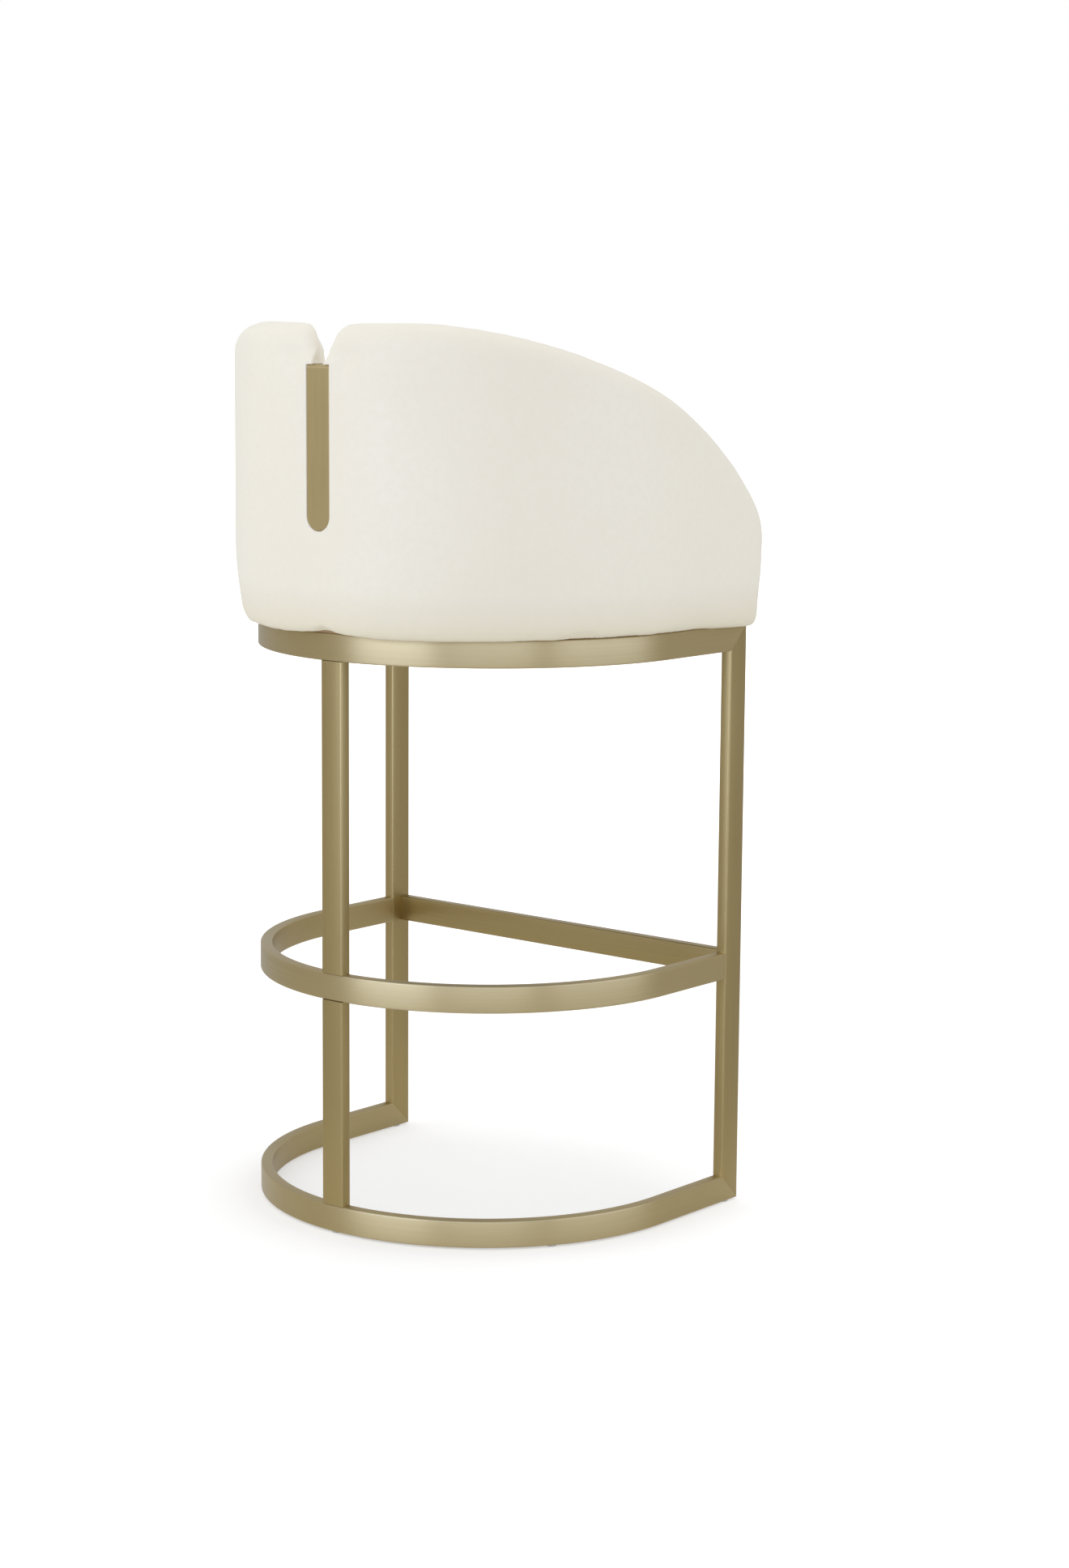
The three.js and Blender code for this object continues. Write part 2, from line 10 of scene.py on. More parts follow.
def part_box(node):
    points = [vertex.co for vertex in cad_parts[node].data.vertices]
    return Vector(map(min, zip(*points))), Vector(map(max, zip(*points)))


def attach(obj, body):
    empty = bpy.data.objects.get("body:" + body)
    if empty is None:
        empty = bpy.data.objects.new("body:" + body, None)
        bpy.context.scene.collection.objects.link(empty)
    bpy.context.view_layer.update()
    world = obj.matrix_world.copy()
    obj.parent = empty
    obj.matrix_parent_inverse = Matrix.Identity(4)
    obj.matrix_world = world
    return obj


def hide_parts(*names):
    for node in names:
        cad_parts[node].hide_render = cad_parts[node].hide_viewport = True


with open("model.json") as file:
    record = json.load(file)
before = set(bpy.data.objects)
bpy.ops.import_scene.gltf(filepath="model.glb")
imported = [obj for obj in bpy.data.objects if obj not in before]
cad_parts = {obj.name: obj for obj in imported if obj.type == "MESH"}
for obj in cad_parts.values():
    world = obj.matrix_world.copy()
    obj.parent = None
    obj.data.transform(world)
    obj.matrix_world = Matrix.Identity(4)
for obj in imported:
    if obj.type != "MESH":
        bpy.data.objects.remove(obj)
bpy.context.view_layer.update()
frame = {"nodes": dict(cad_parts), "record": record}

MM = 0.001

# ---------------------------------------------------------------- sizes: the frame's, then the upholstery's

RING_LOW, RING_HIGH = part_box("seat_ring")
LEG_LOW, LEG_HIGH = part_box("front_leg_left")
RING_R = RING_HIGH.x
BACK_FACE = RING_HIGH.y
ARC_Y = BACK_FACE - RING_R
LEG_FRONT = LEG_LOW.y
TUBE_T = LEG_HIGH.x - LEG_LOW.x
TUBE_W = LEG_HIGH.y - LEG_LOW.y
SEAT_RING_TOP = RING_HIGH.z
BASE_BOTTOM = LEG_LOW.z
FOOT_LOW, FOOT_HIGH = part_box("footrest_ring")
PAD_LOW, PAD_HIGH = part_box("back_pad")
BAR_LOW, BAR_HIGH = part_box("accent_bar")
CUSHION_LOW, CUSHION_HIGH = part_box("seat_cushion")
CORE_LOW, CORE_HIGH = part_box("back_core")
BOARD_LOW, BOARD_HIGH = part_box("seat_board")
BEND = math.pi * RING_R / 2     # length of the outline from the back centre to where the sides run straight
GAP = 0.3 * MM                  # what the CAD leaves between touching pieces

PAD_OUT = PAD_HIGH.x - RING_R   # from the frame's outline out to the pad's outer side
PAD_IN = RING_R - CUSHION_HIGH.x - 2 * GAP
PAD_DIP = 5.7 * MM              # the outer side is drawn in this far at the accent bar
PAD_DIP_WIDTH = 45 * MM
PAD_END = BEND + ARC_Y - PAD_LOW.y
PAD_BOTTOM = PAD_LOW.z
PAD_TOP = PAD_HIGH.z
ARM_FRONT_DROP = 253 * MM       # how far the upper edge falls from the back to the front of the arm
ARM_SWEEP = 457 * MM            # the length of outline over which it falls
ARM_POWER = 1.6
ARM_ROOT = 0.58
LOBE_R = 17 * MM                # rounding of each lobe's upper corner beside the notch
PAD_CROWN = 23 * MM
PAD_NOSE = 24 * MM              # rounding of the arm's front end, in plan
PAD_PULL = 8.5 * MM             # how far the outer side draws in towards the base
PAD_PULL_HEIGHT = 48 * MM
PAD_BASE_RISE = 14 * MM         # height of the curve under the outer side
PAD_DROOP = 2.2 * MM            # the overhanging lower edge sags this far over the ring
BAR_HALF = BAR_HIGH.x
NOTCH_HALF = BAR_HALF - 2.5 * MM
NOTCH_FLOOR = BAR_HIGH.z - 2 * MM
VOXEL = 5 * MM


# ---------------------------------------------------------------- small mesh tools

def new_object(name, verts, faces, smooth=True):
    mesh = bpy.data.meshes.new(name)
    mesh.from_pydata([tuple(v) for v in verts], [], faces)
    mesh.validate()
    obj = bpy.data.objects.new(name, mesh)
    bpy.context.scene.collection.objects.link(obj)
    bm = bmesh.new()
    bm.from_mesh(mesh)
    bmesh.ops.recalc_face_normals(bm, faces=bm.faces)
    bm.to_mesh(mesh)
    bm.free()
    mesh.polygons.foreach_set("use_smooth", [smooth] * len(mesh.polygons))
    return obj


def loft_object(name, loops):
    """A closed skin through rings of equal point count, capped at both ends."""
    size = len(loops[0])
    verts = [p for loop in loops for p in loop]
    faces = []
    for i in range(len(loops) - 1):
        for j in range(size):
            a = i * size + j
            b = i * size + (j + 1) % size
            faces.append((a, b, b + size, a + size))
    faces.append(tuple(range(size)))
    faces.append(tuple(range((len(loops) - 1) * size, len(loops) * size)))
    return new_object(name, verts, faces)


def box_object(name, xs, ys, zs):
    corners = [Vector((x, y, z)) for x in xs for y in ys for z in zs]
    sides = [(0, 1, 3, 2), (4, 6, 7, 5), (0, 4, 5, 1), (2, 3, 7, 6), (0, 2, 6, 4), (1, 5, 7, 3)]
    return new_object(name, corners, sides)


def smooth(obj):
    obj.data.polygons.foreach_set("use_smooth", [True] * len(obj.data.polygons))


def coords(mesh):
    co = np.empty(len(mesh.vertices) * 3)
    mesh.vertices.foreach_get("co", co)
    return co.reshape(-1, 3)


def set_coords(mesh, co):
    mesh.vertices.foreach_set("co", np.ascontiguousarray(co, dtype=np.float32).ravel())
    mesh.update()


def normals(mesh):
    no = np.empty(len(mesh.vertices) * 3)
    mesh.vertex_normals.foreach_get("vector", no)
    return no.reshape(-1, 3)


def apply_modifiers(obj):
    """Replaces the object's mesh with its evaluated one and clears its modifiers."""
    depsgraph = bpy.context.evaluated_depsgraph_get()
    mesh = bpy.data.meshes.new_from_object(obj.evaluated_get(depsgraph), depsgraph=depsgraph)
    obj.modifiers.clear()
    obj.data = mesh


def combine(obj, others, operation):
    """Adds the other objects to this one or takes them from it, then removes them."""
    for other in others:
        modifier = obj.modifiers.new("combine", "BOOLEAN")
        modifier.operation = operation
        modifier.solver = "EXACT"
        modifier.object = other
    apply_modifiers(obj)
    for other in others:
        bpy.data.objects.remove(other)


def voxel(obj):
    modifier = obj.modifiers.new("voxels", "REMESH")
    modifier.mode = "VOXEL"
    modifier.voxel_size = VOXEL
    apply_modifiers(obj)


def subdivide(obj):
    modifier = obj.modifiers.new("fine", "SUBSURF")
    modifier.levels = 1
    apply_modifiers(obj)


def relax(obj, rounds):
    bm = bmesh.new()
    bm.from_mesh(obj.data)
    for _ in range(rounds):
        bmesh.ops.smooth_vert(bm, verts=bm.verts, factor=0.5,
                              use_axis_x=True, use_axis_y=True, use_axis_z=True)
    bm.to_mesh(obj.data)
    bm.free()


CLOTH_FRAMES = 20


def inflate(obj, cap, stiffness):
    """Cloth pressure with gravity off; no point may move further than cap."""
    scene = bpy.context.scene
    start = coords(obj.data)
    cloth = obj.modifiers.new("cloth", "CLOTH")
    settings = cloth.settings
    settings.quality = 5
    settings.mass = 0.3
    settings.tension_stiffness = stiffness
    settings.compression_stiffness = stiffness
    settings.shear_stiffness = 5
    settings.bending_stiffness = 0.5
    settings.use_pressure = True
    settings.uniform_pressure_force = 4
    settings.effector_weights.gravity = 0
    cloth.point_cache.frame_start = 1
    cloth.point_cache.frame_end = CLOTH_FRAMES
    for step in range(1, CLOTH_FRAMES + 1):
        scene.frame_set(step)
    apply_modifiers(obj)
    moved = coords(obj.data) - start
    length = np.linalg.norm(moved, axis=1, keepdims=True)
    moved *= np.minimum(1, cap / np.maximum(length, 1e-9))
    set_coords(obj.data, start + moved)
    scene.frame_set(1)


def smooth_step(x, low, high):
    t = np.clip((x - low) / (high - low), 0, 1)
    return t * t * (3 - 2 * t)


# ---------------------------------------------------------------- node material tools

class Nodes:
    """A material with short calls to add and link nodes."""

    def __init__(self, name):
        self.material = bpy.data.materials.new(name)
        self.material.use_nodes = True
        self.tree = self.material.node_tree
        self.shader = self.tree.nodes["Principled BSDF"]

    def add(self, kind, inputs=(), **settings):
        node = self.tree.nodes.new(kind)
        for key, value in settings.items():
            setattr(node, key, value)
        for socket, value in dict(inputs).items():
            self.give(node.inputs[socket], value)
        return node

    def give(self, socket, value):
        if isinstance(value, bpy.types.NodeSocket):
            self.tree.links.new(value, socket)
        else:
            socket.default_value = value

    def set(self, socket, value):
        self.give(self.shader.inputs[socket], value)

    def scaled(self, source, scale):
        return self.add("ShaderNodeMapping", {"Vector": source, "Scale": scale}).outputs["Vector"]

    def noise(self, source, scale, detail=2, roughness=0.5, distortion=0):
        node = self.add("ShaderNodeTexNoise", {
            "Vector": source, "Scale": scale, "Detail": detail, "Roughness": roughness,
            "Distortion": distortion})
        return node.outputs["Fac"]

    def cells(self, source, scale, randomness):
        node = self.add("ShaderNodeTexVoronoi", {"Vector": source, "Scale": scale, "Randomness": randomness})
        return node.outputs["Distance"]

    def ramp(self, source, low, high, to_low=0.0, to_high=1.0):
        node = self.add("ShaderNodeMapRange", {
            "Value": source, "From Min": low, "From Max": high, "To Min": to_low, "To Max": to_high})
        return node.outputs["Result"]

    def mix(self, factor, a, b):
        node = self.add("ShaderNodeMix", data_type="RGBA")
        self.give(node.inputs["Factor"], factor)
        self.give(node.inputs["A"], a)
        self.give(node.inputs["B"], b)
        return node.outputs["Result"]

    def math(self, operation, a, b=0.0):
        node = self.add("ShaderNodeMath", operation=operation)
        self.give(node.inputs[0], a)
        self.give(node.inputs[1], b)
        return node.outputs["Value"]

    def bump(self, height, strength, distance, normal=None):
        node = self.add("ShaderNodeBump", {"Height": height, "Strength": strength, "Distance": distance})
        if normal is not None:
            self.give(node.inputs["Normal"], normal)
        return node.outputs["Normal"]

    def place(self):
        return self.add("ShaderNodeTexCoord").outputs["Object"]

    def height(self, place):
        return self.add("ShaderNodeSeparateXYZ", {"Vector": place}).outputs["Z"]


def brushed_gold(name, mapped=True, painted_shade_gain=(1, 1, 1), spread=0.8, edge_highlight_gain=0.22):
    """Satin champagne-gold plating, streaked along the UV map's first axis, which is the tube's length.

    The gain is painted shade, darkening and warming pieces that come out darker than the rings; spread is how
    far a highlight is smeared across the streaks, and the edge gain sets a painted highlight that pales the
    rounded edges.
    """
    m = Nodes(name)
    place = m.place()
    uv = m.add("ShaderNodeUVMap", uv_map="tube").outputs["UV"] if mapped else place
    fine = m.noise(m.scaled(uv, (14, 4200, 1)), 1, 3, 0.6)
    broad = m.noise(m.scaled(uv, (4, 700, 1)), 1, 2)
    cloud = m.noise(place, 7, 2)
    edge = m.add("ShaderNodeAttribute", attribute_name="edge").outputs["Fac"]

    # shade() applies the gain to every colour below: painted shade for the darker, warmer copies of this
    # plating
    def shade(r, g, b):
        return (r * painted_shade_gain[0], g * painted_shade_gain[1], b * painted_shade_gain[2], 1)

    tone = m.mix(m.ramp(m.math("ADD", fine, broad), 0.7, 1.3),
                 shade(0.46, 0.36, 0.165), shade(0.52, 0.41, 0.195))
    tone = m.mix(m.ramp(cloud, 0.35, 0.65, 0, 0.35), tone, shade(0.48, 0.38, 0.18))
    # painted highlight: the rounded edges marked by the edge attribute are mixed towards a pale gold
    tone = m.mix(m.math("MULTIPLY", edge, edge_highlight_gain), tone, shade(0.74, 0.63, 0.38))
    m.set("Base Color", tone)
    m.set("Metallic", 1.0)
    rough = 0.33 + 0.12 * spread
    m.set("Roughness", m.math("ADD", m.ramp(fine, 0.3, 0.7, rough - 0.03, rough + 0.03),
                              m.ramp(cloud, 0.3, 0.7, -0.02, 0.02)))
    if mapped:
        m.set("Anisotropic", spread)
        m.set("Anisotropic Rotation", 0.25)
        tangent = m.add("ShaderNodeTangent", direction_type="UV_MAP", uv_map="tube")
        m.set("Tangent", tangent.outputs["Tangent"])
    m.set("Coat Weight", 0.3)
    m.set("Coat Roughness", 0.4)
    m.set("Normal", m.bump(fine, 0.05, 0.0002))
    return m.material


def ivory_leatherette(name, seam_z=None):
    """Smooth off-white upholstery: pebble grain, faint clouding, painted shade that darkens and yellows it
    low down, with a seam at seam_z.
    """
    m = Nodes(name)
    place = m.place()
    cloud = m.noise(place, 5, 3, 0.55)
    mottle = m.noise(place, 140, 3, 0.6)
    grain = m.cells(place, 900, 1)
    pores = m.noise(place, 2300, 2, 0.6)
    base = m.mix(m.ramp(cloud, 0.35, 0.65), (0.865, 0.825, 0.72, 1), (0.885, 0.85, 0.75, 1))
    base = m.mix(m.ramp(mottle, 0.4, 0.62, 0, 0.3), base, (0.845, 0.805, 0.70, 1))
    base = m.mix(m.ramp(grain, 0.25, 0.7, 0, 0.18), base, (0.91, 0.88, 0.80, 1))
    height = m.height(place)
    # painted shade: the cover is drawn darker and yellower in its lowest few centimetres, near the seat ring
    painted_low_shade = m.ramp(height, SEAT_RING_TOP - 2 * MM, SEAT_RING_TOP + 50 * MM, 1, 0)
    base = m.mix(painted_low_shade, base, (0.80, 0.745, 0.585, 1))
    m.set("Base Color", base)
    m.set("Roughness", m.ramp(mottle, 0.3, 0.7, 0.50, 0.62))
    m.set("Specular IOR Level", 0.35)
    m.set("Sheen Weight", 0.12)
    m.set("Sheen Roughness", 0.45)
    surface = m.bump(grain, 0.16, 0.0004)
    if seam_z is not None:
        away = m.math("ABSOLUTE", m.math("SUBTRACT", height, seam_z))
        surface = m.bump(m.ramp(away, 0.2 * MM, 2.4 * MM), 1.0, 1.4 * MM, surface)
    m.set("Normal", m.bump(pores, 0.06, 0.0002, surface))
    return m.material


def zinc():
    m = Nodes("zinc_plate")
    place = m.place()
    spangle = m.noise(place, 700, 2)
    m.set("Base Color", m.mix(m.ramp(spangle, 0.35, 0.65), (0.48, 0.50, 0.53, 1), (0.62, 0.63, 0.64, 1)))
    m.set("Metallic", 1.0)
    m.set("Roughness", m.ramp(spangle, 0.3, 0.7, 0.28, 0.45))
    m.set("Normal", m.bump(m.noise(place, 2500, 2), 0.08, 0.0002))
    return m.material


def plywood():
    """Birch plywood: long grain on the faces, plies of alternating tone through the thickness."""
    m = Nodes("plywood")
    place = m.place()
    grain = m.noise(m.scaled(place, (22, 480, 480)), 1, 4, 0.6, 0.4)
    plies = m.math("SINE", m.math("MULTIPLY", m.height(place), 2 * math.pi / (2.6 * MM)))
    base = m.mix(m.ramp(grain, 0.3, 0.7), (0.42, 0.27, 0.13, 1), (0.66, 0.48, 0.28, 1))
    base = m.mix(m.ramp(plies, -0.2, 0.6, 0, 0.3), base, (0.36, 0.22, 0.10, 1))
    m.set("Base Color", base)
    m.set("Roughness", m.ramp(grain, 0.3, 0.7, 0.62, 0.78))
    m.set("Normal", m.bump(grain, 0.2, 0.0004))
    return m.material


def dust_cloth():
    """Black non-woven cloth: random short fibres over a fine embossed grid of bond points."""
    m = Nodes("dust_cloth")
    place = m.place()
    fibres = m.noise(m.scaled(place, (2600, 700, 900)), 1, 4, 0.7, 1.2)
    bonds = m.cells(place, 420, 0.15)
    base = m.mix(m.ramp(fibres, 0.35, 0.7), (0.008, 0.008, 0.009, 1), (0.040, 0.040, 0.042, 1))
    m.set("Base Color", m.mix(m.ramp(bonds, 0.1, 0.3, 0.5, 0), base, (0.004, 0.004, 0.004, 1)))
    m.set("Roughness", 0.92)
    m.set("Sheen Weight", 0.2)
    m.set("Normal", m.bump(bonds, 0.3, 0.0003, m.bump(fibres, 0.3, 0.0003)))
    return m.material


def nylon():
    m = Nodes("nylon")
    place = m.place()
    mottle = m.noise(place, 260, 3)
    m.set("Base Color", m.mix(m.ramp(mottle, 0.35, 0.65), (0.56, 0.56, 0.53, 1), (0.66, 0.66, 0.63, 1)))
    m.set("Roughness", m.ramp(mottle, 0.3, 0.7, 0.42, 0.58))
    m.set("Subsurface Weight", 0.1)
    m.set("Normal", m.bump(m.noise(place, 1800, 2), 0.1, 0.0002))
    return m.material


GOLD = brushed_gold("brushed_gold")
# The straight tubes and the bar are darker, warmer copies of the rings' plating: painted shade. The bar's
# rounded top also gets a strong painted highlight.
STRAIGHT_GOLD = brushed_gold("brushed_gold_straight", painted_shade_gain=(0.79, 0.745, 0.61), spread=0.1, edge_highlight_gain=0.05)
BRIGHT_GOLD = brushed_gold("brushed_gold_bar", painted_shade_gain=(0.92, 0.865, 0.73), spread=0.1, edge_highlight_gain=0.8)
TAB_GOLD = brushed_gold("brushed_gold_tabs", mapped=False)
UPHOLSTERY = ivory_leatherette("ivory_leatherette")
SEAMED_UPHOLSTERY = ivory_leatherette("ivory_leatherette_seamed", seam_z=CUSHION_HIGH.z - 27 * MM)
ZINC = zinc()
PLYWOOD = plywood()
DUST_CLOTH = dust_cloth()
NYLON = nylon()


def dress(obj, material, slot, *nodes):
    """Material, the CAD nodes it stands for, and the one rigid body. The slot argument is not used."""
    obj.data.materials.clear()
    obj.data.materials.append(material)
    if nodes:
        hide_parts(*nodes)
    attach(obj, "root")
    return obj


# ---------------------------------------------------------------- frame tubes

CORNER = 1.9 * MM
CORNER_STEPS = 4


def tube_section():
    """Rounded rectangle as (across, up, corner); across runs inwards, corner is 1 at the middle of a bend."""
    points = []
    centres = [(TUBE_T - CORNER, CORNER, -90), (TUBE_T - CORNER, TUBE_W - CORNER, 0),
               (CORNER, TUBE_W - CORNER, 90), (CORNER, CORNER, 180)]
    for across, up, start in centres:
        for i in range(CORNER_STEPS + 1):
            angle = math.radians(start + 90 * i / CORNER_STEPS)
            x = across + CORNER * math.cos(angle)
            y = up + CORNER * math.sin(angle)
            corner = math.sin(math.pi * i / CORNER_STEPS)
            points.append((x, y, corner))
    return points


SECTION = tube_section()
SECTION_AROUND = [0.0]
for k in range(len(SECTION)):
    here = SECTION[k]
    there = SECTION[(k + 1) % len(SECTION)]
    SECTION_AROUND.append(SECTION_AROUND[-1] + math.hypot(there[0] - here[0], there[1] - here[1]))


def tube(name, stations, node, finish=STRAIGHT_GOLD, start_u=0.0):
    """A tube through stations, each mapping (across, up) to a point; start_u sets its streaks apart."""
    size = len(SECTION)
    loops = [[Vector(place(across, up)) for across, up, _ in SECTION] for place in stations]
    verts = [p for loop in loops for p in loop]
    along = [start_u]
    for a, b in zip(loops, loops[1:]):
        along.append(along[-1] + (b[size // 2] - a[size // 2]).length)
    faces = []
    uvs = []
    for i in range(len(loops) - 1):
        for j in range(size):
            a = i * size + j
            b = i * size + (j + 1) % size
            faces.append((a, b, b + size, a + size))
            uvs += [(along[i], SECTION_AROUND[j]), (along[i], SECTION_AROUND[j + 1]),
                    (along[i + 1], SECTION_AROUND[j + 1]), (along[i + 1], SECTION_AROUND[j])]
    for first, u in ((0, along[0]), ((len(loops) - 1) * size, along[-1])):
        faces.append(tuple(range(first, first + size)))
        uvs += [(u + SECTION[j][0], SECTION_AROUND[j]) for j in range(size)]
    mesh = bpy.data.meshes.new(name)
    mesh.from_pydata([tuple(v) for v in verts], [], faces)
    layer = mesh.uv_layers.new(name="tube")
    layer.data.foreach_set("uv", np.array(uvs, dtype=np.float32).ravel())
    # The edge attribute marks the rounded corners of the section, where the gold material paints a pale
    # highlight.
    edge = mesh.attributes.new("edge", "FLOAT", "POINT")
    edge.data.foreach_set("value", np.tile([c for _, _, c in SECTION], len(loops)).astype(np.float32))
    obj = bpy.data.objects.new(name, mesh)
    bpy.context.scene.collection.objects.link(obj)
    bm = bmesh.new()
    bm.from_mesh(mesh)
    bmesh.ops.recalc_face_normals(bm, faces=bm.faces)
    for face in bm.faces:
        face.smooth = len(face.verts) == 4
    for rim in bm.edges:
        if any(len(face.verts) > 4 for face in rim.link_faces):
            rim.smooth = False
    bm.to_mesh(mesh)
    bm.free()
    return dress(obj, finish, "frame_metal", node)


ARC_STEPS = 120


def ring_stations(radius, bottom, end_y):
    def straight(side):
        return lambda across, up: (side * (radius - across), end_y(bottom + up), bottom + up)

    def bent(angle):
        return lambda across, up: ((radius - across) * math.cos(angle),
                                   ARC_Y + (radius - across) * math.sin(angle), bottom + up)

    arcs = [bent(math.pi * i / ARC_STEPS) for i in range(ARC_STEPS + 1)]
    return [straight(1), *arcs, straight(-1)]


tube("frame_seat_ring",
     ring_stations(RING_R, SEAT_RING_TOP - TUBE_W, lambda z: LEG_FRONT + SEAT_RING_TOP - z),
     "seat_ring", GOLD)
tube("frame_base_ring", ring_stations(RING_R, BASE_BOTTOM, lambda z: LEG_FRONT + z - BASE_BOTTOM),
     "base_ring", GOLD, start_u=3.0)
tube("frame_footrest_ring", ring_stations(FOOT_HIGH.x, FOOT_LOW.z, lambda z: LEG_FRONT + TUBE_W),
     "footrest_ring", GOLD, start_u=6.0)

LEG_STEPS = 8
for index, (side, node) in enumerate(((1, "front_leg_right"), (-1, "front_leg_left"))):
    def leg_place(t, side=side):
        def place(across, up):
            low = BASE_BOTTOM + up
            high = SEAT_RING_TOP - up
            return (side * (RING_R - across), LEG_FRONT + up, low + (high - low) * t)
        return place
    stations = [leg_place(i / LEG_STEPS) for i in range(LEG_STEPS + 1)]
    tube("frame_" + node, stations, node, start_u=9.0 + 2 * index)

for index, node in enumerate(("back_leg_lower", "back_leg_upper")):
    low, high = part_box(node)
    stations = [lambda across, up, z=z: (up - TUBE_W / 2, BACK_FACE - across, z)
                for z in (low.z - GAP, (low.z + high.z) / 2, high.z + GAP)]
    tube("frame_" + node, stations, node, start_u=13.0 + index)

for index, node in enumerate(("footrest_bar", "seat_front_rail")):
    low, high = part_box(node)
    stations = [lambda across, up, x=x, low=low: (x, low.y + across, low.z + up)
                for x in (low.x - GAP, 0, high.x + GAP)]
    tube("frame_" + node, stations, node, start_u=16.0 + index)


# ---------------------------------------------------------------- padded back

CROWN_ALLOWANCE = 3 * MM      # what smoothing takes off the pad's upper edge
BASE_ALLOWANCE = 2 * MM       # and off its flat underside
BACK_ALLOWANCE = 1.2 * MM     # the crown is a little lower at the middle of the back
BACK_ALLOWANCE_REACH = 110 * MM


def on_contour(s, out, z):
    """Plan position of a point on the frame's outline; s runs from the back centre, out is outwards."""
    side = -1 if s < 0 else 1
    along = abs(s)
    if along > BEND:
        return Vector((side * (RING_R + out), ARC_Y - (along - BEND), z))
    angle = s / RING_R
    return Vector(((RING_R + out) * math.sin(angle), ARC_Y + (RING_R + out) * math.cos(angle), z))


def side_pull(height):
    """How far the pad's outer side draws in at a height above the ring."""
    return PAD_PULL * math.exp(-(height / PAD_PULL_HEIGHT) ** 2)


def pad_top(s):
    from_front = min((PAD_END - abs(s)) / ARM_SWEEP, 1)
    rise = (1 - (1 - max(from_front, 0)) ** ARM_POWER) ** ARM_ROOT
    top = PAD_TOP - ARM_FRONT_DROP * (1 - rise)
    into = min(max((LOBE_R - (abs(s) - NOTCH_HALF)) / LOBE_R, 0), 1)
    return top - LOBE_R * (1 - math.sqrt(1 - into ** 2))


def pad_out(s):
    return PAD_OUT - PAD_DIP * math.exp(-(s / PAD_DIP_WIDTH) ** 2)


def pad_section(s, inset):
    """Upright section of the pad as (out, z), a little thinner than the finished pad by inset."""
    top = pad_top(s) + CROWN_ALLOWANCE - BACK_ALLOWANCE * math.exp(-(s / BACK_ALLOWANCE_REACH) ** 2)
    bottom = PAD_BOTTOM - BASE_ALLOWANCE
    out_face = pad_out(s) - inset
    in_face = -PAD_IN + inset
    rise = PAD_BASE_RISE
    base_out = out_face - side_pull(rise)
    crown = PAD_CROWN
    edge = 2 * MM
    points = [(in_face + (edge - in_face) * i / 4, bottom) for i in range(5)]
    for i in range(1, 9):
        angle = math.pi / 2 * i / 8
        points.append((edge + (base_out - edge) * math.sin(angle), bottom + rise * (1 - math.cos(angle))))
    high = top - crown
    for i in range(1, 24):
        height = rise + (high - bottom - rise) * i / 24
        points.append((out_face - side_pull(height), bottom + height))
    middle = (out_face + in_face) / 2
    half = (out_face - in_face) / 2
    for i in range(17):
        angle = math.pi * i / 16
        points.append((middle + half * math.cos(angle), high + crown * math.sin(angle)))
    for i in range(1, 24):
        t = i / 24
        points.append((in_face, high + (bottom - high) * t))
    return points


def pad_blank(inset):
    end = PAD_END - 0.5 * inset
    half = [end - PAD_NOSE * (1 - math.cos(math.radians(d))) for d in range(14, 91, 8)]
    first = half[-1] - 6 * MM
    count = 80
    half += [first * (1 - i / count) for i in range(count)]
    stations = half + [0.0] + [-s for s in reversed(half)]
    loops = []
    middle = (PAD_OUT - PAD_IN) / 2
    for s in stations:
        from_front = (end - abs(s)) / PAD_NOSE
        full = math.sqrt(max(1 - (1 - from_front) ** 2, 0)) if from_front < 1 else 1
        loops.append([on_contour(s, middle + (out - middle) * full, z) for out, z in pad_section(s, inset)])
    return loft_object("back_upholstery", loops)


def notch_cutter():
    """The see-through notch: narrowest just inside the outer side, flaring towards the seat and the top.

    Each row is a depth, then what is added there to half the notch's width, in mm, and what is added on
    top of that high up.
    """
    flare = [(-PAD_IN - 14 * MM, 26, 38), (-PAD_IN - 2 * MM, 23, 36), (-PAD_IN + 3 * MM, 18, 34),
             (-PAD_IN + 9 * MM, 13, 31), (-PAD_IN + 18 * MM, 8, 25), (0, 1.5, 12), (8 * MM, -3.5, 1),
             (PAD_OUT - 10 * MM, -6, -4), (PAD_OUT - 3 * MM, -5.5, -5), (PAD_OUT + 8 * MM, -3, -4)]
    middle = NOTCH_FLOOR + 18 * MM
    high = PAD_TOP + 20 * MM
    loops = []
    for out, extra, extra_high in flare:
        half = NOTCH_HALF + extra * MM
        wide = half + extra_high * MM
        y = BACK_FACE + out
        outline = [(-half, NOTCH_FLOOR), (half, NOTCH_FLOOR), (half, middle),
                   (wide, high), (-wide, high), (-half, middle)]
        loops.append([Vector((x, y, z)) for x, z in outline])
    return loft_object("notch_cutter", loops)


def bar_outline(grow, steps=24):
    half = BAR_HALF + grow
    centre = BAR_LOW.z + BAR_HALF
    points = [(half, BAR_HIGH.z + grow), (-half, BAR_HIGH.z + grow)]
    for i in range(steps + 1):
        angle = math.pi * (1 + i / steps)
        points.append((half * math.cos(angle), centre + half * math.sin(angle)))
    return points


def groove_cutter(grow, from_y, to_y):
    loops = [[Vector((x, y, z)) for x, z in bar_outline(grow)] for y in (from_y, to_y)]
    return loft_object("groove_cutter", loops)


def strip_cutter(name, inner, outer, low, top_of, s_end):
    count = 110
    loops = []
    for i in range(count + 1):
        s = s_end * (1 - 2 * i / count)
        top = top_of(s)
        loops.append([on_contour(s, inner, low), on_contour(s, outer, low),
                      on_contour(s, outer, top), on_contour(s, inner, top)])
    return loft_object(name, loops)


